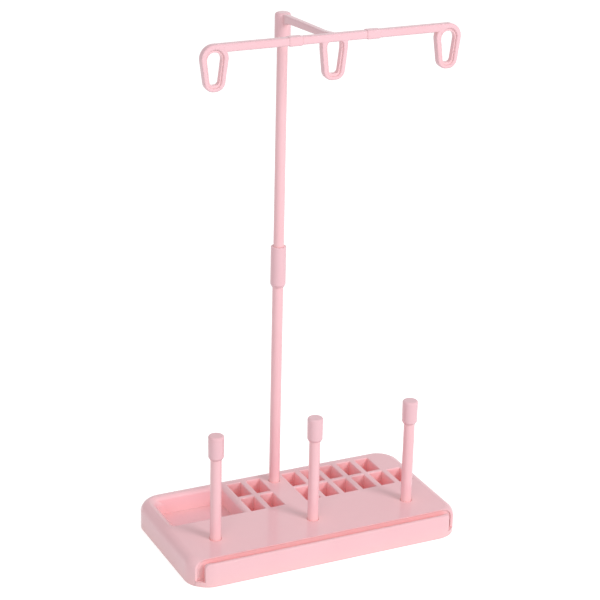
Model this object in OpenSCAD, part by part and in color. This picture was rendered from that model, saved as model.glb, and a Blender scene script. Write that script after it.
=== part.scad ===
// Thread rack: a low base with bobbin pockets, an open tray and a drawer, three capped
// spool pins, a two-part post and a swivelling guide with three thread eyes.
// Millimetres. Origin at the centre of the base's underside, X right, Y rear, Z up.

/* [Base] */
// Length of the base, left to right
base_l = 250; // [248:1:262]
// Depth of the base, front to rear
base_w = 137; // [136:1:144]
// Height of the base
base_h = 23; // [22.5:0.5:27]
// Corner radius of the base in plan
base_r = 21; // [18:0.5:24]
// Rounding along the top edge
edge_r = 8; // [6:0.5:8]
// Wall thickness of the cover
wall_t = 2.2; // [1.8:0.1:2.6]
// Thickness of the cover's top
top_t = 2.5; // [2:0.1:3]
// Thickness of the bottom plate
plate_t = 2; // [1.6:0.1:2.2]
// Depth of the drawer front that stands ahead of the cover
front_d = 8.4; // [8:0.1:9.4]

/* [Bobbin pockets] */
// Width of a pocket
pocket_w = 12.9; // [12:0.1:13.2]
// Depth of a pocket, front to rear
pocket_d = 24.5; // [22:0.1:24.8]
// Height of a pocket and of the tray
pocket_h = 16.7; // [14:0.1:16.7]
// Distance from one column to the next
column_pitch = 18.3; // [17:0.1:18.4]
// Distance from the front row to the rear row
row_pitch = 28.8; // [28:0.1:29]
// Columns left of the post
left_columns = 2; // [2:1:3]
// Columns right of the post, where the last has no rear pocket
right_columns = 6; // [4:1:6]
// Gap between the columns beside the post
post_gap = 21.5; // [21:0.1:22]
// Front edge of the front row
pocket_y = 2.8; // [2.5:0.1:3.2]
// Radius of the pockets' rims
pocket_rim = 1.2; // [0.6:0.2:1.2]

/* [Tray] */
// Left edge of the tray's floor
tray_x = -110; // [-110:0.5:-108]
// Front edge of the tray
tray_front = 5.2; // [5.2:0.2:8]
// Rear edge of the tray
tray_rear = 56; // [54:0.5:56]
// Radius of the tray's rim
tray_rim = 4; // [2:0.5:4]
// Radius of the tray's scooped left end
tray_scoop = 10; // [8:0.5:10]
// Corner radius at the rear left
tray_r = 10; // [6:0.5:12]
// Corner radius at the front
tray_front_r = 5; // [2:0.5:6]

/* [Drawer] */
// Height of the drawer's front panel above the table
panel_top = 21.3; // [20:0.1:22]
// Half length of the front panel
panel_half = 113.8; // [113:0.1:115]
// Thickness of the front panel
panel_t = 2.5; // [2:0.1:2.6]
// Height of the sill under the front panel
sill_h = 4.5; // [4:0.1:5]
// Height of the drawer's side and rear walls above the table
drawer_top = 13.5; // [12:0.1:14]

/* [Spool pins] */
// Distance between pins
pin_pitch = 90; // [88:0.5:92]
// Distance of the pin row in front of the centre
pin_y = -30.5; // [-31:0.5:-30]
// Diameter of a pin
pin_d = 9.4; // [9:0.1:9.8]
// Height of the caps' tops above the table
cap_top = 117.6; // [110:0.1:125]
// Height of a cap
cap_h = 21.1; // [18:0.1:22]
// Diameter of a cap at its top
cap_d = 13.4; // [12.8:0.1:14]

/* [Post] */
// Distance of the post behind the centre
post_y = 48; // [47.5:0.1:48.5]
// Diameter of the lower post
lower_d = 9.4; // [9.2:0.1:9.6]
// Diameter of the upper post
upper_d = 9; // [8.8:0.1:9.2]
// Underside of the coupler
coupler_z = 207; // [180:1:220]
// Length of the coupler
coupler_h = 36.5; // [32:0.5:40]
// Diameter of the coupler
coupler_d = 13.3; // [13:0.1:14]

/* [Thread guide] */
// Top of the hub on the post
hub_top = 444; // [420:0.5:460]
// Length of the hub
hub_h = 26; // [22:0.5:30]
// Diameter of the hub
hub_d = 13.4; // [13:0.1:14.4]
// Distance from the post to the bar
arm_reach = 92.6; // [90:0.2:100]
// Width of the arm
arm_w = 5.6; // [5:0.1:6.4]
// Height of the bar
bar_h = 6.4; // [6:0.1:7.4]
// Thickness of the bar and the eyes
bar_t = 6.2; // [5:0.1:6.4]
// Distance between neighbouring eyes
eye_pitch = 100; // [96:1:106]
// Inside radius of an eye's wide end
eye_r = 6; // [5.8:0.1:6.6]
// Width of the rim of an eye
eye_rim = 5.2; // [4.8:0.1:5.4]
// Height of an eye from its foot to the top of the bar
eye_h = 36.5; // [34:0.1:40]

/* [Hidden] */
$fn = 64;

pink = "#f1c4cc";
steel = "#b9bcc2";

// Clearances: a plug in its socket, a loose edge beside another, and an overlap for clean cuts
fit = 0.05;
gap = 0.3;
sill_gap = 0.15;
plate_fit = 0.15;
cut = 1;
// Arcs are drawn in by this share, so that they meet flat faces at a slight angle
just_in = 0.985;

half_l = base_l / 2;
half_w = base_w / 2;
cover_front = front_d - half_w;
roof_z = base_h - top_t;
floor_z = base_h - pocket_h;
floor_t = 1.8;
under_z = floor_z - floor_t;
rib_t = 2;

// Front wall of the cover: a rail over the drawer and two ends beside it, set back a little
rail_t = 2;
rail_z = base_h - 6.5;
rail_y = cover_front + 1.8;
rail_end = half_l - 4.4;

// Pockets, each as its left edge and front edge
first_left = -post_gap / 2 - pocket_w;
left_edges = [for (i = [0:left_columns - 1]) first_left - i * column_pitch];
right_edges = [for (i = [0:right_columns - 1]) post_gap / 2 + i * column_pitch];
rear_right_edges = [for (i = [0:right_columns - 2]) right_edges[i]];
front_row = [for (x = concat(left_edges, right_edges)) [x, pocket_y]];
rear_row = [for (x = concat(left_edges, rear_right_edges)) [x, pocket_y + row_pitch]];
pockets = concat(front_row, rear_row);
pocket_left = left_edges[left_columns - 1];
pocket_rear = pocket_y + row_pitch + pocket_d;
tray_bridge = 6.4;
tray_right = pocket_left - tray_bridge;
tray_rear_r = 2;
// Solid plastic left of the tray, under the deeper part of its scooped end
scoop_rib = 0.54 * tray_scoop;

// Sockets in the cover
pin_boss_r = 7;
pin_foot = 16.2;
pin_boss_z = pin_foot - 1.4;
post_boss_r = 8;
post_foot = 4;
mouth = 0.6;

// Guide ribs and the drawer between them
guide_x = 113.6;
guide_t = 1.8;
drawer_half = guide_x - 0.6;
drawer_wall = 1.8;
drawer_floor = plate_t + gap;
drawer_floor_t = 1.5;
drawer_rear = pocket_y - rib_t - 0.6;
tab_x = 50;
tab_w = 12;
tab_top = rail_z + 2;
panel_corner_r = 4;
panel_edge_r = 1.5;
inner_y = cover_front + 0.6;
inner_top = rail_z - gap;
lap_half = 118;
lap_top = base_h - 1.5;
lap_corner_r = 6.5;

// Screws that hold the bottom plate, each as its centre
screw_r = 1.4;
head_r = 2.6;
head_h = 1.2;
head_z = 0.3;
head_fit = 0.1;
screw_top = 12;
screw_boss_r = 3.2;
side_screw_x = half_l - 6.9;
screws = [[-side_screw_x, -50], [side_screw_x, -50], [-side_screw_x, -7], [side_screw_x, -7],
    [-95, half_w - 6.1], [110, half_w - 20]];

pin_r = pin_d / 2;
pin_top = cap_top - 1.5;
pin_xs = [-pin_pitch, 0, pin_pitch];
cap_z = cap_top - cap_h;

lower_r = lower_d / 2;
upper_r = upper_d / 2;
coupler_web = 2;
lower_top = coupler_z + coupler_h / 2 - coupler_web / 2;
upper_foot = lower_top + coupler_web;
upper_top = hub_top - 2;

hub_r = hub_d / 2;
hub_z = hub_top - hub_h;
hub_round = 2.6;
bar_y = post_y - arm_reach;
bar_top = hub_top + 3.6;
bar_z = bar_top - bar_h;

// Arm in side view: it rises from the hub to the bar and sweeps up into the bar's top edge
arm_low = hub_top - 7.4;
arm_high = hub_top - 1;
arm_bend_y = 14;
arm_bend_z = bar_top - 1.7;
gusset = 9;

// Plug joints between the centre of the bar and its side arms
joint_x = 27.5;
sleeve_l = 11.5;
sleeve_grow = 0.5;
tongue_l = 9;
tongue_w = 3.2;
tongue_h = 4.2;

// Eye: a wide round top and a foot with two smaller corners, inside and outside
inner_top_z = bar_z + 0.2 - eye_r;
inner_foot_r = 2.9;
inner_foot_half = 1;
eye_foot = bar_top - eye_h;
rim_foot = 4.9;
outer_r = eye_r + eye_rim;
outer_foot_r = 7.8;
outer_foot_half = 0.9;
window_r = 3.5;

// Upright solid quarter profile with its outer top corner rounded
module quarter_profile(r, h, e) {
    square([r, h - e]);
    square([r - e, h]);
    translate([r - e, h - e]) circle(e);
}

// Block with round corners in plan and a round top edge, in pieces that meet on flat faces
module rounded_block(l, w, h, r, e) {
    side_x = l / 2 - r;
    side_y = w / 2 - r;
    for (m = [0, 1]) {
        mirror([0, m, 0]) translate([-side_x, side_y, 0]) rotate([90, 0, 90])
            linear_extrude(2 * side_x) quarter_profile(r, h, e);
        mirror([m, 0, 0]) translate([side_x, side_y, 0]) rotate([90, 0, 0])
            linear_extrude(2 * side_y) quarter_profile(r, h, e);
        for (n = [0, 1])
            mirror([m, 0, 0]) mirror([0, n, 0]) translate([side_x, side_y, 0])
                rotate_extrude(angle = 90) quarter_profile(r, h, e);
    }
    translate([-side_x, -side_y, 0]) cube([2 * side_x, 2 * side_y, h]);
}

// Flat outline of the base, drawn in by d
module base_outline(d) {
    x = half_l - base_r;
    y = half_w - base_r;
    square([2 * x, 2 * (half_w - d)], center = true);
    square([2 * (half_l - d), 2 * y], center = true);
    for (sx = [-1, 1], sy = [-1, 1]) translate([sx * x, sy * y]) circle(base_r - d);
}

// Box from one corner to the opposite one
module span(low, high) {
    translate(low) cube(high - low);
}

// Plan rectangle with its own radius at each corner: front left, front right, rear right, rear left
module plan(low, high, radii) {
    corners = [[low[0], low[1], 1, 1], [high[0], low[1], -1, 1], [high[0], high[1], -1, -1],
        [low[0], high[1], 1, -1]];
    difference() {
        translate(low) square(high - low);
        for (i = [0:3]) translate([corners[i][0], corners[i][1]])
            mirror([1 - corners[i][2], 0]) mirror([0, 1 - corners[i][3]])
                translate([-cut, -cut]) square(radii[i] + cut);
    }
    for (i = [0:3])
        translate([corners[i][0] + corners[i][2] * radii[i], corners[i][1] + corners[i][3] * radii[i]])
            circle(radii[i]);
}

// Solid stock inside the cover that the pockets and the tray are cut from
module pocket_stock() {
    last = right_edges[right_columns - 1] + pocket_w + rib_t;
    last_rear = rear_right_edges[right_columns - 2] + pocket_w + rib_t;
    front = pocket_y - rib_t;
    mid = pocket_y + pocket_d + rib_t;
    span([tray_x - scoop_rib, front, under_z], [-post_gap / 2 + rib_t, pocket_rear + rib_t, roof_z + cut]);
    span([post_gap / 2 - rib_t, front, under_z], [last, mid, roof_z + cut]);
    span([post_gap / 2 - rib_t, mid - cut, under_z], [last_rear, pocket_rear + rib_t, roof_z + cut]);
}

// Everything that hangs from the underside of the top
module cover_insides() {
    pocket_stock();
    for (x = pin_xs)
        translate([x, pin_y, pin_boss_z]) cylinder(r = pin_boss_r, h = roof_z + cut - pin_boss_z);
    translate([0, post_y, plate_t]) cylinder(r = post_boss_r, h = roof_z + cut - plate_t);
    for (s = screws)
        translate([s[0], s[1], plate_t]) cylinder(r = screw_boss_r, h = roof_z + 0.5 - plate_t);
    for (m = [0, 1])
        mirror([m, 0, 0]) span([guide_x, rail_y, plate_t + gap],
            [guide_x + guide_t, pocket_y - rib_t + cut, roof_z + cut]);
    span([-guide_x - guide_t, rail_y, rail_z], [guide_x + guide_t, rail_y + rail_t, roof_z + cut / 2]);
    for (m = [0, 1])
        mirror([m, 0, 0]) translate([0, rail_y + rail_t, 0]) rotate([90, 0, 0]) linear_extrude(rail_t)
            polygon([[guide_x, plate_t + gap], [rail_end, plate_t + gap], [rail_end, base_h - 7],
                [rail_end - 0.8, base_h - 4.4], [rail_end - 2.4, base_h - 2], [guide_x, base_h - 2]]);
}

module base_cover() {
    color(pink) difference() {
        union() {
            difference() {
                rounded_block(base_l, base_w, base_h, base_r, edge_r);
                translate([0, 0, -cut]) rounded_block(base_l - 2 * wall_t, base_w - 2 * wall_t,
                    roof_z + cut, base_r - wall_t, edge_r - wall_t);
            }
            cover_insides();
        }
        span([-half_l - cut, -half_w - cut, -cut], [half_l + cut, cover_front, base_h + cut]);
        for (p = pockets) translate([p[0] + pocket_w / 2, p[1] + pocket_d / 2, base_h]) pocket_space();
        tray_space();
        translate([0, rail_y, 0]) rotate([90, 0, 0]) linear_extrude(rail_y - cover_front + cut)
            front_face(lap_half + gap, -cut, lap_top + gap, lap_corner_r + gap);
        for (x = pin_xs) translate([x, pin_y, 0]) socket(pin_r, pin_foot);
        translate([0, post_y, 0]) socket(lower_r, post_foot);
        for (s = screws)
            translate([s[0], s[1], plate_t - cut])
                cylinder(r = screw_r + fit, h = screw_top + cut - (plate_t - cut));
    }
}

// What a rounded rim of radius r takes away, seen along the rim with the opening on the left
module rim(r) {
    difference() {
        translate([-cut, -r]) square([cut + just_in * r, r + cut]);
        translate([just_in * r, -just_in * r]) circle(r);
    }
}

// Side view of an opening from low to high, h deep, under rounded rims with a radius at either end
module opening_side(low, high, h, low_r, high_r) {
    translate([low, -h]) square([high - low, h + cut]);
    translate([high, 0]) rim(high_r);
    translate([low, 0]) mirror([1, 0]) rim(low_r);
}

// Space of a pocket: its front view and its side view, each carried through, where they meet
module pocket_space() {
    depth = pocket_d + 4 * pocket_rim;
    width = pocket_w + 4 * pocket_rim;
    intersection() {
        translate([0, depth / 2, 0]) rotate([90, 0, 0]) linear_extrude(depth)
            opening_side(-pocket_w / 2, pocket_w / 2, pocket_h, pocket_rim, pocket_rim);
        translate([-width / 2, 0, 0]) rotate([90, 0, 90]) linear_extrude(width)
            opening_side(-pocket_d / 2, pocket_d / 2, pocket_h, pocket_rim, pocket_rim);
    }
}

// Space of the tray: a bowl with the scooped end's wide rim all round, kept to the tighter rims at
// the front, the right and the rear
module tray_space() {
    intersection() {
        tray_bowl([tray_x, tray_front], [tray_right, tray_rear],
            [tray_front_r, tray_front_r, tray_rear_r, tray_r]);
        translate([0, half_w, base_h]) rotate([90, 0, 0]) linear_extrude(base_w)
            opening_side(tray_x - 2 * tray_scoop, tray_right, pocket_h, tray_rim, tray_rim);
        translate([-half_l - cut, 0, base_h]) rotate([90, 0, 90]) linear_extrude(half_l)
            opening_side(tray_front, tray_rear, pocket_h, tray_rim, tray_rim);
    }
}

// Plan rectangle sunk to the tray's floor, with a wide rim along each side and round each corner
module tray_bowl(low, high, radii) {
    x = [low[0] + radii[0], high[0] - radii[1], high[0] - radii[2], low[0] + radii[3]];
    y = [low[1] + radii[0], low[1] + radii[1], high[1] - radii[2], high[1] - radii[3]];
    // Each side as its right end seen from the tray, and its length
    sides = [[[x[1], low[1]], x[1] - x[0]], [[high[0], y[2]], y[2] - y[1]],
        [[x[3], high[1]], x[2] - x[3]], [[low[0], y[0]], y[3] - y[0]]];
    translate([0, 0, floor_z - cut]) linear_extrude(pocket_h + 2 * cut) plan(low, high, radii);
    for (i = [0:3]) {
        translate([sides[i][0][0], sides[i][0][1], base_h]) rotate([90, 0, 90 * i - 90])
            linear_extrude(sides[i][1]) rim(tray_scoop);
        translate([x[i], y[i], base_h]) rotate([0, 0, 90 * i - 180]) rotate_extrude(angle = 90)
            translate([radii[i], 0]) rim(tray_scoop);
    }
}

// Blind round hole from z up through the top, with a chamfered mouth
module socket(r, z) {
    translate([0, 0, z]) cylinder(r = r + fit, h = base_h - z + cut);
    translate([0, 0, base_h - mouth]) cylinder(r1 = r + fit, r2 = r + fit + mouth + cut, h = mouth + cut);
}

module base_plate() {
    color(pink) difference() {
        linear_extrude(plate_t) difference() {
            base_outline(wall_t + plate_fit);
            translate([-half_l, -half_w - cut]) square([base_l, front_d + cut]);
        }
        for (s = screws) translate([s[0], s[1], 0]) {
            translate([0, 0, -cut]) cylinder(r = screw_r + 2 * head_fit, h = plate_t + 2 * cut);
            translate([0, 0, -cut]) cylinder(r = head_r + head_fit, h = cut + head_z);
            translate([0, 0, head_z]) cylinder(r1 = head_r + head_fit, r2 = screw_r + head_fit, h = head_h);
        }
    }
}

module base_screws() {
    color(steel) for (s = screws) translate([s[0], s[1], 0]) {
        translate([0, 0, head_z]) cylinder(r1 = head_r, r2 = screw_r, h = head_h);
        translate([0, 0, head_z + head_h]) cylinder(r = screw_r, h = screw_top - head_z - head_h);
    }
}

module drawer() {
    color(pink) {
        // Sill along the front, with the base's own round corners
        translate([0, 0, gap]) linear_extrude(sill_h - gap) intersection() {
            base_outline(0);
            translate([-half_l, -half_w]) square([base_l, front_d - sill_gap]);
        }
        // Front panel, bent round with the outline, its upper corners and top edge rounded
        intersection() {
            translate([0, 0, sill_h]) linear_extrude(panel_top - sill_h) difference() {
                base_outline(0);
                base_outline(panel_t);
                translate([-half_l, cover_front - gap]) square([base_l, base_w]);
            }
            translate([0, cover_front, 0]) rotate([90, 0, 0]) linear_extrude(front_d + cut)
                front_face(panel_half, 0, panel_top, panel_corner_r);
            translate([-half_l, 0, 0]) rotate([90, 0, 90]) linear_extrude(base_l) panel_side();
        }
        // Floor of the finger channel behind the panel
        span([-lap_half, cover_front - gap - cut, drawer_floor], [lap_half, rail_y - gap, sill_h]);
        // Inner front, which laps over the cover's front wall when the drawer is shut
        translate([0, rail_y - gap, 0]) rotate([90, 0, 0]) linear_extrude(rail_y - gap - inner_y)
            front_face(lap_half, drawer_floor, lap_top, lap_corner_r);
        // Tray behind it: floor, front, sides, rear and the two stops
        span([-drawer_half, inner_y, drawer_floor],
            [drawer_half, drawer_rear, drawer_floor + drawer_floor_t]);
        span([-drawer_half, inner_y, drawer_floor], [drawer_half, inner_y + drawer_wall, inner_top]);
        span([-drawer_half, drawer_rear - drawer_wall, drawer_floor],
            [drawer_half, drawer_rear, drawer_top]);
        for (m = [0, 1]) mirror([m, 0, 0]) {
            span([drawer_half - drawer_wall, inner_y, drawer_floor],
                [drawer_half, drawer_rear, drawer_top]);
            span([tab_x - tab_w / 2, drawer_rear - drawer_wall, drawer_floor],
                [tab_x + tab_w / 2, drawer_rear, tab_top]);
        }
    }
}

// Side view of the panel, with its top edge rounded at the front
module panel_side() {
    r = panel_edge_r;
    translate([-half_w, 0]) square([front_d, panel_top - r]);
    translate([-half_w + r, 0]) square([front_d - r, panel_top]);
    translate([-half_w + r, panel_top - r]) circle(r);
}

// Front view of an upright plate, with its two upper corners rounded
module front_face(half, low, high, r) {
    translate([-half, low]) square([2 * half, high - r - low]);
    translate([-half + r, low]) square([2 * (half - r), high - low]);
    for (sx = [-1, 1]) translate([sx * (half - r), high - r]) circle(r);
}

// Spool pin: its foot stands in the cover and its top is inside the cap
module spool_pin(x) {
    color(pink) translate([x, pin_y, pin_foot]) cylinder(r = pin_r, h = pin_top - pin_foot);
}

module spool_pin_left() { spool_pin(pin_xs[0]); }
module spool_pin_center() { spool_pin(pin_xs[1]); }
module spool_pin_right() { spool_pin(pin_xs[2]); }

// Cap: a blind sleeve that tapers a little downwards, chamfered at both ends
module pin_cap(x) {
    r = cap_d / 2;
    bore = pin_r + fit;
    color(pink) translate([x, pin_y, cap_z]) rotate_extrude() polygon([
        [bore, 0], [bore + 0.5, 0], [r - 0.25, 2.4], [r, cap_h - 1.2], [r - 1.2, cap_h],
        [0, cap_h], [0, pin_top - cap_z], [bore, pin_top - cap_z]]);
}

module pin_cap_left() { pin_cap(pin_xs[0]); }
module pin_cap_center() { pin_cap(pin_xs[1]); }
module pin_cap_right() { pin_cap(pin_xs[2]); }

module lower_post() {
    color(pink) translate([0, post_y, post_foot]) cylinder(r = lower_r, h = lower_top - post_foot);
}

module upper_post() {
    color(pink) translate([0, post_y, upper_foot]) cylinder(r = upper_r, h = upper_top - upper_foot);
}

// Coupler: a sleeve with a web across its middle, chamfered more at its lower end
module post_coupler() {
    r = coupler_d / 2;
    lower_bore = lower_r + fit;
    upper_bore = upper_r + fit;
    color(pink) translate([0, post_y, coupler_z]) rotate_extrude() polygon([
        [0, lower_top - coupler_z], [lower_bore, lower_top - coupler_z], [lower_bore, 0],
        [lower_bore + 0.4, 0], [r, 2.4], [r, coupler_h - 0.8], [r - 0.8, coupler_h],
        [upper_bore, coupler_h], [upper_bore, upper_foot - coupler_z], [0, upper_foot - coupler_z]]);
}

// Egg shape: a wide circle on the axis and two smaller ones below, with straight flanks that
// run just inside the circles' shared tangents
module egg(top_r, top_z, low_r, low_half, low_z) {
    drop = top_z - low_z;
    reach = sqrt(low_half * low_half + drop * drop);
    lean = atan2(drop, low_half) - acos((top_r - low_r) / reach);
    nx = just_in * cos(lean);
    nz = -just_in * sin(lean);
    translate([0, top_z]) circle(top_r);
    for (sx = [-1, 1]) translate([sx * low_half, low_z]) circle(low_r);
    translate([-low_half, low_z - low_r]) square([2 * low_half, low_r]);
    polygon([[top_r * nx, top_z + top_r * nz], [low_half + low_r * nx, low_z + low_r * nz],
        [-low_half - low_r * nx, low_z + low_r * nz], [-top_r * nx, top_z + top_r * nz]]);
}

module eye_outside() {
    egg(outer_r, bar_top - outer_r, outer_foot_r, outer_foot_half, eye_foot + outer_foot_r);
}

module eye_inside() {
    egg(eye_r, inner_top_z, inner_foot_r, inner_foot_half, eye_foot + rim_foot + inner_foot_r);
}

// Stands a front view up at the bar, t thick
module at_bar(t) {
    translate([0, bar_y + t / 2, 0]) rotate([90, 0, 0]) linear_extrude(t) children();
}

// Arm and gusset in side view, from the post's axis to the bar
module arm_side() {
    rear = bar_y + bar_t / 2;
    polygon([[post_y, arm_low], [post_y - hub_r + 0.4, arm_low - 1.6],
        [post_y - hub_r - gusset, arm_low + 0.8], [rear, bar_z], [rear - cut, bar_z],
        [rear - cut, bar_top - 0.2], [rear, bar_top - 0.2], [rear + arm_bend_y, arm_bend_z],
        [post_y, arm_high]]);
}

// Centre of the guide: hub, arm, middle eye and the two tongues of the bar
module guide_center() {
    color(pink) difference() {
        union() {
            translate([0, post_y, hub_z]) rotate_extrude() {
                square([hub_r, hub_h - hub_round]);
                square([hub_r - hub_round, hub_h]);
                translate([hub_r - hub_round, hub_h - hub_round]) circle(hub_round);
            }
            translate([-arm_w / 2, 0, 0]) rotate([90, 0, 90]) linear_extrude(arm_w) arm_side();
            at_bar(bar_t) difference() {
                union() {
                    translate([-joint_x, bar_z]) square([2 * joint_x, bar_h]);
                    intersection() {
                        union() {
                            eye_outside();
                            translate([-outer_r, bar_top - outer_r]) square([2 * outer_r, outer_r]);
                        }
                        translate([-outer_r, eye_foot]) square([2 * outer_r, eye_h]);
                    }
                }
                eye_inside();
                center_window();
            }
            at_bar(tongue_w) translate([-joint_x - tongue_l, bar_z + (bar_h - tongue_h) / 2])
                square([2 * (joint_x + tongue_l), tongue_h]);
        }
        translate([0, post_y, hub_z - cut]) cylinder(r = upper_r + fit, h = upper_top - hub_z + cut);
    }
}

// Squarer head of the middle eye's opening, right under the bar
module center_window() {
    low = inner_top_z;
    translate([-eye_r, low]) square([2 * eye_r, bar_z - low - window_r]);
    translate([-eye_r + window_r, low]) square([2 * (eye_r - window_r), bar_z - low]);
    for (sx = [-1, 1]) translate([sx * (eye_r - window_r), bar_z - window_r]) circle(window_r);
}

// Side arm of the bar, drawn for the right: a sleeve over the tongue and an eye at the end
module guide_arm() {
    color(pink) difference() {
        union() {
            at_bar(bar_t) difference() {
                union() {
                    translate([joint_x, bar_z]) square([eye_pitch - joint_x, bar_h]);
                    translate([eye_pitch, 0]) eye_outside();
                }
                translate([eye_pitch, 0]) eye_inside();
            }
            at_bar(bar_t + 2 * sleeve_grow) translate([joint_x, bar_z - sleeve_grow])
                square([sleeve_l, bar_h + 2 * sleeve_grow]);
        }
        at_bar(tongue_w + 2 * fit) translate([joint_x - cut, bar_z + (bar_h - tongue_h) / 2 - fit])
            square([tongue_l + cut + gap, tongue_h + 2 * fit]);
    }
}

module guide_arm_right() { guide_arm(); }
module guide_arm_left() { mirror([1, 0, 0]) guide_arm(); }

base_cover();
base_plate();
base_screws();
drawer();
lower_post();
post_coupler();
upper_post();
guide_center();
guide_arm_left();
guide_arm_right();
spool_pin_left();
spool_pin_center();
spool_pin_right();
pin_cap_left();
pin_cap_center();
pin_cap_right();
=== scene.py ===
import bmesh
import bpy
import numpy as np
from bpy.props import FloatProperty, FloatVectorProperty, PointerProperty
from bpy.types import Operator, Panel, PropertyGroup
from mathutils import Matrix, Vector


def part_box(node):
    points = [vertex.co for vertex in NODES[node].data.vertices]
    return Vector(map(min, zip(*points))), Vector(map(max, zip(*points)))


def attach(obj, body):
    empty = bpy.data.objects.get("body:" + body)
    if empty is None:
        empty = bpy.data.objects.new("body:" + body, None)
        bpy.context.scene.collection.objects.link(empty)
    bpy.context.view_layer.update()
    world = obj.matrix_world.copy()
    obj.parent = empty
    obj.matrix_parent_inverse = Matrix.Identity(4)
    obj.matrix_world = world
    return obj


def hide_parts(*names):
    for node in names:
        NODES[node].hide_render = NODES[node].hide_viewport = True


bl_info = {
    "name": "Thread Rack",
    "version": (1, 0, 0),
    "blender": (4, 5, 0),
    "location": "View3D > Sidebar > Thread Rack",
    "description": "Dresses a moulded thread rack with base, drawer, spool pins, post and thread guide",
    "category": "Add Mesh",
}

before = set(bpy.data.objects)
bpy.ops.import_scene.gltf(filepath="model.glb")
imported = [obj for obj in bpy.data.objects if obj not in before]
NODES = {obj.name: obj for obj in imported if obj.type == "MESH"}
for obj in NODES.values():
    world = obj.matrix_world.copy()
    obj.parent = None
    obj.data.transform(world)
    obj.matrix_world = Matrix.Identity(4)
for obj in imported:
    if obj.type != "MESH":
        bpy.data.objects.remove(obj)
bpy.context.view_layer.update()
MM = 0.001
# Faces in a rounded corner
STEPS = 6
# Points nearer than this are one
SAME_POINT = 1e-6
# How far merged surfaces that would share a plane are kept apart
APART = 0.02 * MM
# Radial play between a plug and its socket
FIT = 0.05 * MM
# Foot of an eye: half the flat between its two corner circles, in the opening and outside
FOOT_HALF, OUTER_FOOT_HALF = 1 * MM, 0.9 * MM
# Radius of the corner circles at the foot of an eye, outside
OUTER_FOOT_RADIUS = 7.8 * MM
# How far the round head of an opening rises into the bar
HEAD_RISE = 0.2 * MM
PIN_NAMES = ("left", "center", "right")


def box_of(node):
    """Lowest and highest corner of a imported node, as two arrays in metres."""
    low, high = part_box(node)
    return np.array(low), np.array(high)


PIN_BOX = {name: box_of("spool_pin_" + name) for name in PIN_NAMES}
CAP_BOX = {name: box_of("pin_cap_" + name) for name in PIN_NAMES}
LOWER_BOX = box_of("lower_post")
UPPER_BOX = box_of("upper_post")
COUPLER_BOX = box_of("post_coupler")
CENTER_BOX = box_of("guide_center")


def length(name, description, default):
    """A size property in metres."""
    return FloatProperty(name=name, description=description, default=float(default), min=0.0,
                         precision=5, unit="LENGTH")


def colour(name, description, default):
    """A colour property, in linear values."""
    return FloatVectorProperty(name=name, description=description, default=default, size=3,
                               min=0.0, max=1.0, subtype="COLOR")


def share(name, description, default):
    """A plain number property from 0 to 1."""
    return FloatProperty(name=name, description=description, default=default, min=0.0, max=1.0,
                         precision=3)


class RackSizes(PropertyGroup):
    """Sizes of the turned and moulded pieces."""
    soft_edge: length("Soft edge", "Radius of the moulded edges of the guide", 1.2 * MM)
    turned_edge: length("Turned edge", "Radius of the ends of pins and posts", 0.5 * MM)
    cap_edge: length("Cap edge", "Radius of the cap's top edge", 1.7 * MM)
    cap_taper: length("Cap taper", "Height of the taper at the cap's foot", 1.9 * MM)
    coupler_edge: length("Coupler edge", "Radius of the coupler's top edge", 0.9 * MM)
    hub_height: length("Hub height", "Height of the hub on the post", 26 * MM)
    hub_edge: length("Hub edge", "Radius of the hub's top edge", 2.6 * MM)
    bar_depth: length("Bar depth", "Thickness of the cross bar from front to back", 6.2 * MM)
    bar_height: length("Bar height", "Height of the cross bar", 6.4 * MM)
    arm_width: length("Arm width", "Width of the arm from the hub to the bar", 5.6 * MM)
    eye_pitch: length("Eye pitch", "Distance between neighbouring thread eyes", 100 * MM)
    eye_radius: length("Eye radius", "Radius of the wide end of an eye's opening", 6 * MM)
    eye_rim: length("Eye rim", "Width of the rim and the lip round the wide end of an eye", 5.2 * MM)
    eye_height: length("Eye height", "Height of an eye from the bar's top to its foot", 36.5 * MM)
    eye_foot_rim: length("Eye foot rim", "Thickness of an eye under its opening", 4.9 * MM)
    eye_foot_radius: length("Eye foot radius", "Radius of the corners at an opening's foot", 2.9 * MM)
    lip_width: length("Lip width", "Width of the lip at the sides of an opening", 1.2 * MM)
    lip_end: length("Lip end", "Width of the lip at the top and the foot of an opening", 2 * MM)
    lip_depth: length("Lip depth", "How far the lip lies behind the eye's front", 1.5 * MM)
    lip_edge: length("Lip edge", "Radius of the lip's edges", 0.5 * MM)
    eye_edge: length("Eye edge", "Radius of the moulded edges of an eye", 1.2 * MM)
    joint_x: length("Joint place", "Distance of a side arm's joint from the middle", 27.5 * MM)
    sleeve_length: length("Sleeve length", "Length of the sleeve of a side arm", 11.5 * MM)
    sleeve_grow: length("Sleeve growth", "How far the sleeve stands out round the bar", 0.5 * MM)
    sleeve_ramp: length("Sleeve ramp", "Length over which the sleeve rises from the bar", 1.3 * MM)
    seam_edge: length("Seam edge", "Radius of the bar's ends at the joints", 0.15 * MM)


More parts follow.
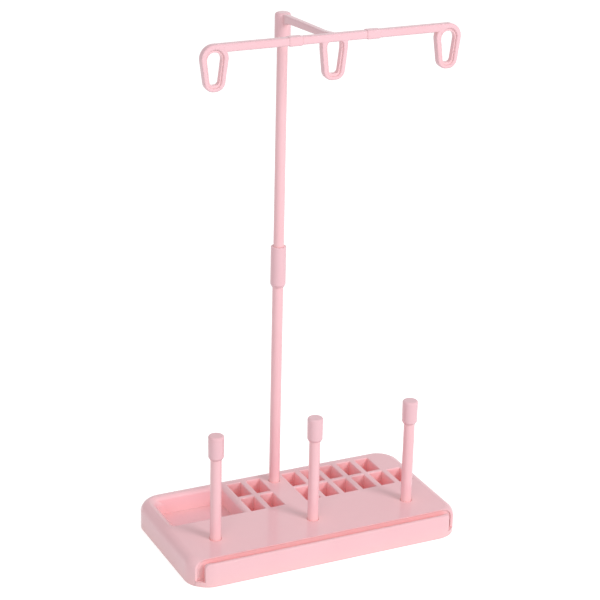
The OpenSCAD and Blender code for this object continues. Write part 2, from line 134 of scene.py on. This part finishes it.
class RackFinish(PropertyGroup):
    """Colours and gloss of the finishes."""
    pink: colour("Pink", "Colour of the base, the drawer, the pins and the posts",
                 (0.985, 0.60, 0.645))
    pink_deep: colour("Deep pink", "The same where the plastic runs a little denser",
                      (0.975, 0.575, 0.62))
    # Painted glow: the colour put into pockets and gaps in place of the light their walls pass on to each
    # other
    painted_hollow_glow: colour("Hollow", "Colour in the pockets and gaps, where the walls glow warmer",
                   (1.0, 0.64, 0.63))
    rose: colour("Rose", "Colour of the caps, the coupler and the guide", (0.915, 0.575, 0.63))
    rose_deep: colour("Deep rose", "The same where the plastic runs a little denser",
                      (0.915, 0.55, 0.60))
    steel: colour("Steel", "Colour of the screws", (0.56, 0.57, 0.6))
    gloss: share("Roughness", "Roughness of the moulded plastic", 0.12)
    # Reach of the painted glow: how near other walls must be for the colour to turn to the hollow glow
    painted_glow_reach: length("Hollow reach", "How near other walls warm the plastic", 14 * MM)
    soft_rim: length("Soft rim", "Radius by which hard edges catch the light", 0.6 * MM)


class RackStage(PropertyGroup):
    """Lamps and floor."""
    key: FloatProperty(name="Key lamp", description="Power of the large lamp at the front right",
                       default=50.0, min=0.0, unit="POWER")
    fill: FloatProperty(name="Fill lamp", description="Power of the large lamp at the front left",
                        default=40.0, min=0.0, unit="POWER")
    room: FloatProperty(name="Room light", description="Strength of the even light all round",
                        default=0.5, min=0.0, max=2.0)
    floor: colour("Floor", "Colour of the floor", (0.8, 0.8, 0.8))


# Surfaces

def rounded(points, radii, steps=STEPS):
    """Closed outline with its corners rounded. At each corner the arc starts r / tan(a) before it and
    ends as far after it, a being half the corner's angle; its centre lies r / sin(a) along the bisector,
    and the arc is the turn between the two spokes from there."""
    p = np.asarray(points, float)
    r = np.broadcast_to(np.asarray(radii, float), len(p))[:, None]
    back = np.roll(p, 1, 0) - p
    ahead = np.roll(p, -1, 0) - p
    back /= np.linalg.norm(back, axis=1, keepdims=True)
    ahead /= np.linalg.norm(ahead, axis=1, keepdims=True)
    half = 0.5 * np.arccos(np.clip((back * ahead).sum(1, keepdims=True), -1, 1))
    bisector = back + ahead
    bisector /= np.linalg.norm(bisector, axis=1, keepdims=True)
    centre = p + bisector * r / np.sin(half)
    first = p + back * r / np.tan(half) - centre
    last = p + ahead * r / np.tan(half) - centre
    turn = (np.pi - 2 * half)[:, None]
    s = np.linspace(0, 1, steps + 1)[None, :, None]
    arc = (np.sin((1 - s) * turn) * first[:, None] + np.sin(s * turn) * last[:, None]) / np.sin(turn)
    return (centre[:, None] + arc).reshape(-1, 2)


def turned(profile, axis, count=64):
    """Surface of revolution: each point (r, z) of the profile goes round the upright line through axis as
    (x + r cos t, y + r sin t, z)."""
    profile = np.asarray(profile, float)
    t = np.linspace(0, 2 * np.pi, count, endpoint=False)
    r, z = profile[:, :1], profile[:, 1:]
    x = axis[0] + r * np.cos(t)
    y = axis[1] + r * np.sin(t)
    return np.stack([x, y, np.broadcast_to(z, x.shape)], -1)


def section(width, height, edge, inset=0.0, steps=STEPS):
    """Loop of a rectangle with round corners, drawn in by inset. Its corner radius shrinks with it."""
    w, h = width / 2 - inset, height / 2 - inset
    r = np.clip(edge - inset, SAME_POINT, None)
    return rounded([(-w, -h), (w, -h), (w, h), (-w, h)], r, steps)


def end_stations(start, stop, depth, run):
    """Places along a bar with softened ends, each with how far its section is drawn in: near an end
    the section follows a quarter ellipse, with inset depth (1 - sin a) at run (1 - cos a) from the end."""
    a = np.linspace(0, np.pi / 2, STEPS + 1)
    reach, inset = run * (1 - np.cos(a)), depth * (1 - np.sin(a))
    along = np.concatenate([start + reach, (stop - reach)[::-1]])
    return along, np.concatenate([inset, inset[::-1]])


def bar(start, stop, centre, width, height, edge, end):
    """Straight bar along x: the rounded section carried from start to stop. Its closed ends are softened
    over a depth and a run, given together as end."""
    along, inset = end_stations(start, stop, *end)
    loops = np.stack([section(width, height, edge, i) for i in inset])
    x = np.broadcast_to(along[:, None], loops.shape[:2])
    grid = np.stack([x, centre[0] + loops[..., 0], centre[1] + loops[..., 1]], -1)
    return closed_ends(grid)


def closed_ends(grid):
    """The same surface with its first and last loop drawn together to their centres."""
    first = np.broadcast_to(grid[:1].mean(1, keepdims=True), grid[:1].shape)
    last = np.broadcast_to(grid[-1:].mean(1, keepdims=True), grid[-1:].shape)
    return np.concatenate([first, grid, last])


def egg(top_r, top_z, foot_r, foot_half, foot_z, count=96):
    """Closed outline of an egg: the hull of one wide circle above and two smaller ones below. For each
    direction the farthest point of the three circles is taken, so straight flanks come out by themselves,
    and the points are then spread evenly along it."""
    directions = 720
    t = np.linspace(0, 2 * np.pi, directions, endpoint=False) + np.pi / 2
    d = np.stack([np.cos(t), np.sin(t)], -1)
    centres = np.array([(0, top_z), (-foot_half, foot_z), (foot_half, foot_z)])
    radii = np.array([top_r, foot_r, foot_r])
    support = d @ centres.T + radii
    best = support.argmax(1)
    loop = centres[best] + d * radii[best][:, None]
    return evenly(loop, count)


def evenly(loop, count):
    """A closed outline walked at even steps of its length."""
    closed = np.concatenate([loop, loop[:1]])
    walk = np.concatenate([[0], np.cumsum(np.linalg.norm(np.diff(closed, axis=0), axis=1))])
    at = np.linspace(0, walk[-1], count, endpoint=False)
    return np.stack([np.interp(at, walk, closed[:, 0]), np.interp(at, walk, closed[:, 1])], -1)


def ring(inner, outer, y, depth, edge):
    """Flat ring between two outlines in the (x, z) plane: a rounded rectangle goes from the inner to the
    outer outline and from front to back, s being its share of the way out and its y the depth."""
    width = np.linalg.norm(outer - inner, axis=1)[:, None]
    loop = section(width.mean(), depth, edge)
    from_side = (width.mean() / 2 - np.abs(loop[:, 0]))[None, :]
    s = np.where(loop[:, 0] < 0, from_side / width, 1 - from_side / width)[..., None]
    flat = inner[:, None] * (1 - s) + outer[:, None] * s
    y_loop = np.broadcast_to(y + loop[:, 1], flat.shape[:2])
    return np.stack([flat[..., 0], y_loop, flat[..., 1]], -1)


def quads(rows, columns, wrap_rows, wrap_columns):
    """Corner numbers of the quads of a grid, row after row, joined round where it wraps."""
    i = np.arange(rows if wrap_rows else rows - 1)[:, None]
    j = np.arange(columns if wrap_columns else columns - 1)[None, :]
    i2, j2 = (i + 1) % rows, (j + 1) % columns
    faces = np.stack(np.broadcast_arrays(i * columns + j, i * columns + j2, i2 * columns + j2,
                                         i2 * columns + j), -1)
    return faces.reshape(-1, 4)


def moulded(name, body, finish, grids, hard=40.0):
    """Joins grids, each (points, wraps along its rows), into one closed mesh and puts it on its body."""
    points, faces, base = [], [], 0
    for grid, wrap_rows in grids:
        rows, columns = grid.shape[:2]
        points.append(grid.reshape(-1, 3))
        faces.append(quads(rows, columns, wrap_rows, True) + base)
        base += rows * columns
    mesh = bpy.data.meshes.new(name)
    mesh.from_pydata(np.concatenate(points), [], np.concatenate(faces).tolist())
    shell = bmesh.new()
    shell.from_mesh(mesh)
    bmesh.ops.remove_doubles(shell, verts=shell.verts, dist=SAME_POINT)
    bmesh.ops.dissolve_degenerate(shell, edges=shell.edges, dist=SAME_POINT / 10)
    bmesh.ops.recalc_face_normals(shell, faces=shell.faces)
    shell.to_mesh(mesh)
    shell.free()
    mesh.shade_smooth()
    mesh.set_sharp_from_angle(angle=np.radians(hard))
    piece = bpy.data.objects.new(name, mesh)
    bpy.context.scene.collection.objects.link(piece)
    weigh = piece.modifiers.new("even shading", "WEIGHTED_NORMAL")
    weigh.keep_sharp = True
    mesh.materials.append(finish)
    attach(piece, body)
    return piece


# Finishes

def new_finish(name):
    """An empty node material with its shader, and a helper that adds a node with its settings."""
    material = bpy.data.materials.get(name)
    if material:
        return material, None, None
    material = bpy.data.materials.new(name)
    material.use_nodes = True
    tree = material.node_tree
    shader = tree.nodes["Principled BSDF"]

    def add(kind, **settings):
        node = tree.nodes.new(kind)
        for key, value in settings.items():
            if key in node.inputs:
                node.inputs[key].default_value = value
            else:
                setattr(node, key, value)
        return node

    return material, shader, add


def pink_plastic():
    """Finish of the base, the drawer, the pins and the posts."""
    looks = bpy.context.scene.rack_finish
    return moulded_plastic("moulded pink plastic", looks.pink, looks.pink_deep)


def rose_plastic():
    """Finish of the caps, the coupler and the guide."""
    looks = bpy.context.scene.rack_finish
    return moulded_plastic("moulded rose plastic", looks.rose, looks.rose_deep)


def moulded_plastic(name, light, deep):
    """Glossy moulded plastic: the colour drifts a little over centimetres and has a painted glow in
    hollows, a lighter, warmer colour in place of light passed on between walls; the gloss changes over
    smaller patches, and the skin has the faint orange peel and grain of a mould."""
    material, shader, add = new_finish(name)
    if add is None:
        return material
    finish = bpy.context.scene.rack_finish
    link = material.node_tree.links.new
    smoother, duller = 0.03, 0.05
    plastic_ior = 1.5
    place = add("ShaderNodeTexCoord")
    # Colour: drift over centimetres, and a painted glow in hollows: a lighter, warmer colour in place of
    # light passed on between walls
    drift = add("ShaderNodeTexNoise", Scale=22.0, Detail=3.0, Roughness=0.5)
    mix = add("ShaderNodeMix", data_type="RGBA")
    mix.inputs["A"].default_value = (*light, 1)
    mix.inputs["B"].default_value = (*deep, 1)
    spread = add("ShaderNodeMapRange")
    spread.inputs["From Min"].default_value = 0.35
    spread.inputs["From Max"].default_value = 0.7
    # Painted glow: the nearer other walls are, the more the colour turns to the lighter, warmer hollow
    # glow
    glow_mask = add("ShaderNodeAmbientOcclusion", samples=8)
    glow_mask.inputs["Distance"].default_value = finish.painted_glow_reach
    painted_glow = add("ShaderNodeMix", data_type="RGBA")
    painted_glow.inputs["A"].default_value = (*finish.painted_hollow_glow, 1)
    link(drift.outputs["Fac"], spread.inputs["Value"])
    link(spread.outputs["Result"], mix.inputs["Factor"])
    link(glow_mask.outputs["AO"], painted_glow.inputs["Factor"])
    link(mix.outputs["Result"], painted_glow.inputs["B"])
    link(painted_glow.outputs["Result"], shader.inputs["Base Color"])
    # Gloss: smoother and duller patches
    patches = add("ShaderNodeTexNoise", Scale=140.0, Detail=4.0, Roughness=0.6)
    gloss = add("ShaderNodeMapRange")
    gloss.inputs["From Min"].default_value = 0.3
    gloss.inputs["From Max"].default_value = 0.7
    gloss.inputs["To Min"].default_value = finish.gloss - smoother
    gloss.inputs["To Max"].default_value = finish.gloss + duller
    link(patches.outputs["Fac"], gloss.inputs["Value"])
    link(gloss.outputs["Result"], shader.inputs["Roughness"])
    # Skin: soft rims, orange peel, then grain
    rim = add("ShaderNodeBevel", samples=4)
    rim.inputs["Radius"].default_value = finish.soft_rim
    peel = add("ShaderNodeTexNoise", Scale=420.0, Detail=2.0, Roughness=0.5)
    wave = add("ShaderNodeBump", Strength=0.12, Distance=0.2 * MM)
    grain = add("ShaderNodeTexNoise", Scale=3200.0, Detail=2.0, Roughness=0.6)
    skin = add("ShaderNodeBump", Strength=0.06, Distance=0.04 * MM)
    link(rim.outputs["Normal"], wave.inputs["Normal"])
    link(peel.outputs["Fac"], wave.inputs["Height"])
    link(wave.outputs["Normal"], skin.inputs["Normal"])
    link(grain.outputs["Fac"], skin.inputs["Height"])
    link(skin.outputs["Normal"], shader.inputs["Normal"])
    for texture in (drift, patches, peel, grain):
        link(place.outputs["Object"], texture.inputs["Vector"])
    shader.inputs["IOR"].default_value = plastic_ior
    return material


def screw_steel():
    """Bright steel with fine turning marks."""
    material, shader, add = new_finish("bright screw steel")
    if add is None:
        return material
    finish = bpy.context.scene.rack_finish
    link = material.node_tree.links.new
    place = add("ShaderNodeTexCoord")
    marks = add("ShaderNodeTexNoise", Scale=2600.0, Detail=3.0)
    shade = add("ShaderNodeMapRange")
    shade.inputs["To Min"].default_value = 0.25
    shade.inputs["To Max"].default_value = 0.45
    tint = add("ShaderNodeMix", data_type="RGBA")
    tint.inputs["A"].default_value = (*finish.steel, 1)
    darker = 0.8
    tint.inputs["B"].default_value = (*[darker * c for c in finish.steel], 1)
    dent = add("ShaderNodeBump", Strength=0.1, Distance=0.02 * MM)
    link(place.outputs["Object"], marks.inputs["Vector"])
    link(marks.outputs["Fac"], shade.inputs["Value"])
    link(marks.outputs["Fac"], tint.inputs["Factor"])
    link(tint.outputs["Result"], shader.inputs["Base Color"])
    link(shade.outputs["Result"], shader.inputs["Roughness"])
    link(marks.outputs["Fac"], dent.inputs["Height"])
    link(dent.outputs["Normal"], shader.inputs["Normal"])
    shader.inputs["Metallic"].default_value = 1.0
    return material


def dress(node, material):
    """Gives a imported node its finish."""
    mesh = NODES[node].data
    mesh.materials.clear()
    mesh.materials.append(material)


# Pieces

class RACK_OT_base(Operator):
    """Finish the base cover, its plate and the drawer"""
    bl_idname = "rack.base"
    bl_label = "Base and drawer"

    def execute(self, context):
        for node in ("base_cover", "base_plate", "drawer"):
            dress(node, pink_plastic())
        dress("base_screws", screw_steel())
        return {"FINISHED"}


class RACK_OT_pins(Operator):
    """Turn the three spool pins and their caps"""
    bl_idname = "rack.pins"
    bl_label = "Spool pins and caps"

    def execute(self, context):
        sizes = context.scene.rack_sizes
        for name in PIN_NAMES:
            low, high = PIN_BOX[name]
            axis, r = (low + high)[:2] / 2, (high - low)[0] / 2
            outline = rounded([(0, low[2]), (r, low[2]), (r, high[2]), (0, high[2])],
                              [0, sizes.turned_edge, sizes.turned_edge, 0])
            pin = moulded("pin_" + name, "base", pink_plastic(),
                          [(turned(outline, axis), False)])
            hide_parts("spool_pin_" + name)
            foot, top = CAP_BOX[name]
            cap = moulded("cap_" + name, name + "_cap", rose_plastic(),
                          [(turned(cap_outline(foot, top, r, high[2]), axis), False)])
            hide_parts("pin_cap_" + name)
        return {"FINISHED"}


def cap_outline(foot, top, pin_r, pin_top):
    """Profile of a cap, from the roof of its bore down, round its foot and up to its crown."""
    sizes = bpy.context.scene.rack_sizes
    r, bore = (top - foot)[0] / 2, pin_r + FIT
    z, head = foot[2], top[2]
    lip, lean, crown = 0.6 * MM, 0.2 * MM, 4 * MM
    lip_edge, taper_edge, lean_edge = 0.25 * MM, 0.9 * MM, 1.5 * MM
    return rounded(
        [(0, pin_top), (bore, pin_top), (bore, z), (bore + lip, z),
         (r - lean, z + sizes.cap_taper), (r, head - crown), (r, head), (0, head)],
        [0, 0, 0, lip_edge, taper_edge, lean_edge, sizes.cap_edge, 0])


class RACK_OT_post(Operator):
    """Turn the two post sections and their coupler"""
    bl_idname = "rack.post"
    bl_label = "Post"

    def execute(self, context):
        sizes = context.scene.rack_sizes
        for name, box in (("post_low", LOWER_BOX), ("post_high", UPPER_BOX)):
            low, high = box
            axis, r = (low + high)[:2] / 2, (high - low)[0] / 2
            outline = rounded([(0, low[2]), (r, low[2]), (r, high[2]), (0, high[2])],
                              [0, sizes.turned_edge, sizes.turned_edge, 0])
            post = moulded(name, "base", pink_plastic(),
                           [(turned(outline, axis), False)])
            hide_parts("lower_post" if box is LOWER_BOX else "upper_post")
        low, high = COUPLER_BOX
        axis = (low + high)[:2] / 2
        sleeve = moulded("coupler", "base", rose_plastic(),
                         [(turned(coupler_outline(low, high), axis), False)])
        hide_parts("post_coupler")
        return {"FINISHED"}


def coupler_outline(low, high):
    """Profile of the coupler: from under its web down the lower bore, up the outside, and down the upper
    bore to the web's top."""
    sizes = bpy.context.scene.rack_sizes
    r = (high - low)[0] / 2
    lower = (LOWER_BOX[1] - LOWER_BOX[0])[0] / 2 + FIT
    upper = (UPPER_BOX[1] - UPPER_BOX[0])[0] / 2 + FIT
    web_low, web_high = LOWER_BOX[1][2], UPPER_BOX[0][2]
    lip, taper = 0.7 * MM, 2.6 * MM
    lip_edge, taper_edge, mouth_edge = 0.3 * MM, 1.6 * MM, 0.2 * MM
    return rounded(
        [(0, web_low), (lower, web_low), (lower, low[2]), (lower + lip, low[2]),
         (r, low[2] + taper), (r, high[2]), (upper, high[2]), (upper, web_high), (0, web_high)],
        [0, 0, 0, lip_edge, taper_edge, sizes.coupler_edge, mouth_edge, 0, 0])


class RACK_OT_guide(Operator):
    """Mould the thread guide: its centre and the two side arms"""
    bl_idname = "rack.guide"
    bl_label = "Thread guide"

    def execute(self, context):
        sizes = context.scene.rack_sizes
        finish = rose_plastic()
        low, high = CENTER_BOX
        bar_top = high[2]
        bar_mid = bar_top - sizes.bar_height / 2
        bar_y = low[1] + sizes.bar_depth / 2
        seam = (sizes.seam_edge, sizes.seam_edge)
        tongue_x = sizes.joint_x + 9 * MM
        tongue_depth, tongue_height, tongue_edge = 3.2 * MM, 4.2 * MM, 0.3 * MM
        centre = moulded("guide_middle", "thread_guide", finish, [
            (hub_surface(), False),
            (arm_surface(bar_y, bar_top), False),
            (bar(-sizes.joint_x, sizes.joint_x, (bar_y, bar_mid), sizes.bar_depth, sizes.bar_height,
                 sizes.soft_edge, seam), False),
            *middle_eye(bar_y, bar_top),
            (bar(-tongue_x, tongue_x, (bar_y, bar_mid), tongue_depth, tongue_height, tongue_edge,
                 seam), False),
        ])
        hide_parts("guide_center")
        for side, name in ((1, "right"), (-1, "left")):
            arm = moulded("guide_side_" + name, "thread_guide", finish,
                          side_arm(side, bar_y, bar_top, bar_mid))
            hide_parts("guide_arm_" + name)
        return {"FINISHED"}


def hub_surface():
    """The hub over the post: a blind sleeve with a domed top edge."""
    sizes = bpy.context.scene.rack_sizes
    high = CENTER_BOX[1]
    post_low, post_high = UPPER_BOX
    axis = (post_low + post_high)[:2] / 2
    bore = (post_high - post_low)[0] / 2 + FIT
    r = high[1] - axis[1]
    roof = post_high[2]
    crown, mouth_edge, foot_edge = 2 * MM, 0.3 * MM, 0.5 * MM
    top = roof + crown
    foot = top - sizes.hub_height
    outline = rounded([(0, roof), (bore, roof), (bore, foot), (r, foot), (r, top), (0, top)],
                      [0, 0, mouth_edge, foot_edge, sizes.hub_edge, 0])
    return turned(outline, axis)


def arm_surface(bar_y, bar_top):
    """The arm from the hub to the bar: an upright rounded section carried along y between a lower and an
    upper line, both straight between their bends and smoothed by averaging over a few millimetres."""
    sizes = bpy.context.scene.rack_sizes
    rear = bar_y + sizes.bar_depth / 2
    post_y = (UPPER_BOX[0] + UPPER_BOX[1])[1] / 2
    # The bends of each line as (y, depth under the bar's top), from in the bar to past the post's axis
    inside, root, past = rear - 1.5 * MM, rear - 1.4 * MM, post_y + 1 * MM
    lower = np.array([(inside, 6 * MM), (post_y - 15.7 * MM, 10.2 * MM), (post_y - 6.3 * MM, 12.6 * MM),
                      (past, 12.6 * MM)])
    upper = np.array([(inside, 0.2 * MM), (rear + 1 * MM, 0.2 * MM), (rear + 14 * MM, 1.7 * MM),
                      (past, 4.6 * MM)])
    for line in (lower, upper):
        line[:, 1] = bar_top - line[:, 1]
    stations, blend, samples = 120, 2.5 * MM, 21
    y = np.linspace(root, post_y, stations)
    near = y[:, None] + np.linspace(-blend, blend, samples)[None, :]
    low = np.interp(near, lower[:, 0], lower[:, 1]).mean(1)
    high = np.interp(near, upper[:, 0], upper[:, 1]).mean(1)
    loops = np.stack([section(sizes.arm_width, tall, sizes.soft_edge) for tall in high - low])
    z = (low + high)[:, None] / 2 + loops[..., 1]
    grid = np.stack([loops[..., 0], np.broadcast_to(y[:, None], z.shape), z], -1)
    return closed_ends(grid)


def eye_rings(inner, step, outer, bar_y):
    """A thread eye as two rings: the rim between the outer outline and the step, and the lip, which
    reaches from the opening to half way under the rim and lies behind the rim's front, and a hair before
    its back."""
    sizes = bpy.context.scene.rack_sizes
    depth = sizes.bar_depth - APART
    back = 0.1 * MM
    lip_depth = depth - sizes.lip_depth - back
    lip_y = bar_y + (depth - lip_depth) / 2 - back
    rim = ring(step, outer, bar_y, depth, sizes.eye_edge)
    lip = ring(inner, (step + outer) / 2, lip_y, lip_depth, sizes.lip_edge)
    return [(rim, True), (lip, True)]


def side_arm(side, bar_y, bar_top, bar_mid):
    """A side arm of the guide: sleeve, bar and eye. The eye's outlines are eggs that all start at the top.
    Over the opening the bar runs on as a lower crown, a hair apart from the bar's own faces."""
    sizes = bpy.context.scene.rack_sizes
    r, foot_r = sizes.eye_radius, sizes.eye_foot_radius
    outer_r = r + sizes.eye_rim
    foot = bar_top - sizes.eye_height
    opening_top = bar_top - sizes.bar_height + HEAD_RISE
    opening_foot = foot + sizes.eye_foot_rim
    inner = egg(r, opening_top - r, foot_r, FOOT_HALF, opening_foot + foot_r)
    step_r, step_foot_r = r + sizes.lip_width, foot_r + sizes.lip_width
    step = egg(step_r, opening_top + sizes.lip_end - step_r, step_foot_r, FOOT_HALF,
               opening_foot - sizes.lip_end + step_foot_r)
    outer = egg(outer_r, bar_top - outer_r, OUTER_FOOT_RADIUS, OUTER_FOOT_HALF, foot + OUTER_FOOT_RADIUS)
    seam = (sizes.seam_edge, sizes.seam_edge)
    overlap = 1 * MM
    stem = bar(sizes.joint_x + overlap, sizes.eye_pitch - step_r, (bar_y, bar_mid), sizes.bar_depth,
               sizes.bar_height, sizes.soft_edge, seam)
    grow = 2 * sizes.sleeve_grow
    sleeve = bar(sizes.joint_x, sizes.joint_x + sizes.sleeve_length, (bar_y, bar_mid),
                 sizes.bar_depth + grow, sizes.bar_height + grow, sizes.soft_edge,
                 (sizes.sleeve_grow, sizes.sleeve_ramp))
    eye = eye_rings(inner, step, outer, bar_y)
    for grid, _ in eye:
        grid[..., 0] += sizes.eye_pitch
    tall = sizes.bar_height - sizes.lip_end
    crown = bar(sizes.eye_pitch - step_r - overlap, sizes.eye_pitch, (bar_y, bar_top - APART - tall / 2),
                sizes.bar_depth - 2 * APART, tall, sizes.soft_edge, seam)
    grids = eye + [(stem, False), (crown, False), (sleeve, False)]
    for grid, _ in grids:
        grid[..., 0] *= side
    return grids


def middle_eye(bar_y, bar_top):
    """The middle eye: its opening has a squarer head right under the bar, and its rim runs up into the
    bar."""
    sizes = bpy.context.scene.rack_sizes
    bar_foot = bar_top - sizes.bar_height
    foot = bar_top - sizes.eye_height
    outer_r = sizes.eye_radius + sizes.eye_rim
    steps = 2 * STEPS

    def opening(r, foot_r, low):
        """Outline of the opening or of the step: upright sides to the shoulders, then slanting flanks."""
        head = bar_foot + 0.3 * MM
        shoulder = bar_foot + HEAD_RISE - r
        half = foot_r + 0.8 * MM
        head_r, shoulder_r = 3.5 * MM, 4 * MM
        return rounded([(-r, head), (-r, shoulder), (-half, low), (half, low), (r, shoulder), (r, head)],
                       [head_r, shoulder_r, foot_r, foot_r, shoulder_r, head_r], steps)

    low = foot + sizes.eye_foot_rim
    inner = opening(sizes.eye_radius, sizes.eye_foot_radius, low)
    step = opening(sizes.eye_radius + sizes.lip_width, sizes.eye_foot_radius + sizes.lip_width,
                   low - sizes.lip_end)
    top, top_r = bar_top - 1.6 * MM, 0.5 * MM
    shoulder, shoulder_r = bar_top - outer_r, 6 * MM
    half, foot_r = 8.4 * MM, OUTER_FOOT_RADIUS
    outer = rounded([(-outer_r, top), (-outer_r, shoulder), (-half, foot),
                     (half, foot), (outer_r, shoulder), (outer_r, top)],
                    [top_r, shoulder_r, foot_r, foot_r, shoulder_r, top_r], steps)
    return eye_rings(inner, step, outer, bar_y)


class RACK_OT_stage(Operator):
    """Set the floor, the lamps and the camera"""
    bl_idname = "rack.stage"
    bl_label = "Stage"

    def execute(self, context):
        stage = context.scene.rack_stage
        lay_floor(stage)
        key = hang_lamp("key lamp", stage.key, place=(1.4, -2.6, 1.9), size=1.2)
        hang_lamp("fill lamp", stage.fill, place=(-3.0, -3.6, 1.6), size=2.2)
        # The key lamp's mirror image would burn out the base's top when it is seen from behind
        key.visible_glossy = False
        set_room(stage)
        set_camera(context)
        # Pale plastic passes light on many times in its pockets and gaps
        context.scene.cycles.max_bounces = 24
        context.scene.cycles.diffuse_bounces = 16
        return {"FINISHED"}


def lay_floor(stage):
    """A pale floor that fades into the background, with the object's shadow left on it. It lies a little
    under the base, so that the two don't share a plane."""
    mesh = bpy.data.meshes.new("floor")
    far = 6.0
    z = -0.2 * MM
    glow = 0.62
    mesh.from_pydata([(-far, -far, z), (far, -far, z), (far, far, z), (-far, far, z)], [],
                     [(0, 1, 2, 3)])
    floor = bpy.data.objects.new("floor", mesh)
    bpy.context.scene.collection.objects.link(floor)
    material, shader, add = new_finish("pale floor")
    link = material.node_tree.links.new
    shader.inputs["Base Color"].default_value = (*stage.floor, 1)
    shader.inputs["Roughness"].default_value = 0.9
    shader.inputs["Specular IOR Level"].default_value = 0.0
    lift = add("ShaderNodeMath", operation="MULTIPLY")
    lift.inputs[1].default_value = glow
    link(seen_rays(material.node_tree), lift.inputs[0])
    link(lift.outputs["Value"], shader.inputs["Emission Strength"])
    shader.inputs["Emission Color"].default_value = (1, 1, 1, 1)
    mesh.materials.append(material)


def seen_rays(tree):
    """Output that is 1 for rays from the camera, from a gloss or through glass, and 0 for all others."""
    rays = tree.nodes.new("ShaderNodeLightPath")
    seen = rays.outputs["Is Camera Ray"]
    for kind in ("Is Glossy Ray", "Is Transmission Ray"):
        either = tree.nodes.new("ShaderNodeMath")
        either.operation = "MAXIMUM"
        tree.links.new(seen, either.inputs[0])
        tree.links.new(rays.outputs[kind], either.inputs[1])
        seen = either.outputs["Value"]
    return seen


def hang_lamp(name, power, place, size):
    """A square soft lamp turned towards the middle of the rack. Returns it."""
    light = bpy.data.lights.new(name, "AREA")
    light.shape = "SQUARE"
    light.size = size
    light.energy = power
    lamp = bpy.data.objects.new(name, light)
    lamp.location = place
    middle = Vector((0, 0, 0.2))
    aim = middle - Vector(place)
    lamp.rotation_euler = aim.to_track_quat("-Z", "Y").to_euler()
    bpy.context.scene.collection.objects.link(lamp)
    return lamp


def set_room(stage):
    """Even light all round; the camera and reflections see it as white."""
    world = bpy.data.worlds.new("room")
    bpy.context.scene.world = world
    world.use_nodes = True
    tree = world.node_tree
    tree.nodes.clear()
    even = tree.nodes.new("ShaderNodeBackground")
    even.inputs["Strength"].default_value = stage.room
    white = tree.nodes.new("ShaderNodeBackground")
    white.inputs["Color"].default_value = (1, 1, 1, 1)
    even.inputs["Color"].default_value = (1, 1, 1, 1)
    pick = tree.nodes.new("ShaderNodeMixShader")
    out = tree.nodes.new("ShaderNodeOutputWorld")
    link = tree.links.new
    link(seen_rays(tree), pick.inputs["Fac"])
    link(even.outputs["Background"], pick.inputs[1])
    link(white.outputs["Background"], pick.inputs[2])
    link(pick.outputs["Shader"], out.inputs["Surface"])


def set_camera(context):
    """The camera at the viewing angle of the picture, from its right, down and forward directions."""
    right = Vector((0.90281227, -0.42948662, 0.02170808))
    down = Vector((-0.13813878, -0.33744237, -0.93115537))
    ahead = Vector((0.407244, 0.83765977, -0.36397587))
    camera = bpy.data.cameras.new("camera")
    camera.sensor_width = 36
    camera.lens = 116.538
    placed = Matrix((right, -down, -ahead)).transposed().to_4x4()
    placed.translation = (-0.6580, -1.3492, 0.7983)
    holder = bpy.data.objects.new("camera", camera)
    holder.matrix_world = placed
    context.scene.collection.objects.link(holder)
    context.scene.camera = holder
    context.scene.view_settings.view_transform = "Standard"


OPERATORS = (RACK_OT_base, RACK_OT_pins, RACK_OT_post, RACK_OT_guide, RACK_OT_stage)


class RACK_PT_panel(Panel):
    """Sidebar panel of the thread rack"""
    bl_idname = "RACK_PT_panel"
    bl_label = "Thread Rack"
    bl_space_type = "VIEW_3D"
    bl_region_type = "UI"
    bl_category = "Thread Rack"

    def draw(self, context):
        layout = self.layout
        for operator in OPERATORS:
            layout.operator(operator.bl_idname)
        for group in (context.scene.rack_sizes, context.scene.rack_finish, context.scene.rack_stage):
            column = layout.column(align=True)
            for name in group.bl_rna.properties.keys():
                if name not in ("rna_type", "name"):
                    column.prop(group, name)


CLASSES = (RackSizes, RackFinish, RackStage, *OPERATORS, RACK_PT_panel)


def register():
    for item in CLASSES:
        bpy.utils.register_class(item)
    bpy.types.Scene.rack_sizes = PointerProperty(type=RackSizes)
    bpy.types.Scene.rack_finish = PointerProperty(type=RackFinish)
    bpy.types.Scene.rack_stage = PointerProperty(type=RackStage)


def unregister():
    del bpy.types.Scene.rack_stage
    del bpy.types.Scene.rack_finish
    del bpy.types.Scene.rack_sizes
    for item in reversed(CLASSES):
        bpy.utils.unregister_class(item)


def main():
    register()
    bpy.ops.rack.base()
    bpy.ops.rack.pins()
    bpy.ops.rack.post()
    bpy.ops.rack.guide()
    bpy.ops.rack.stage()


if __name__ == "__main__":
    main()
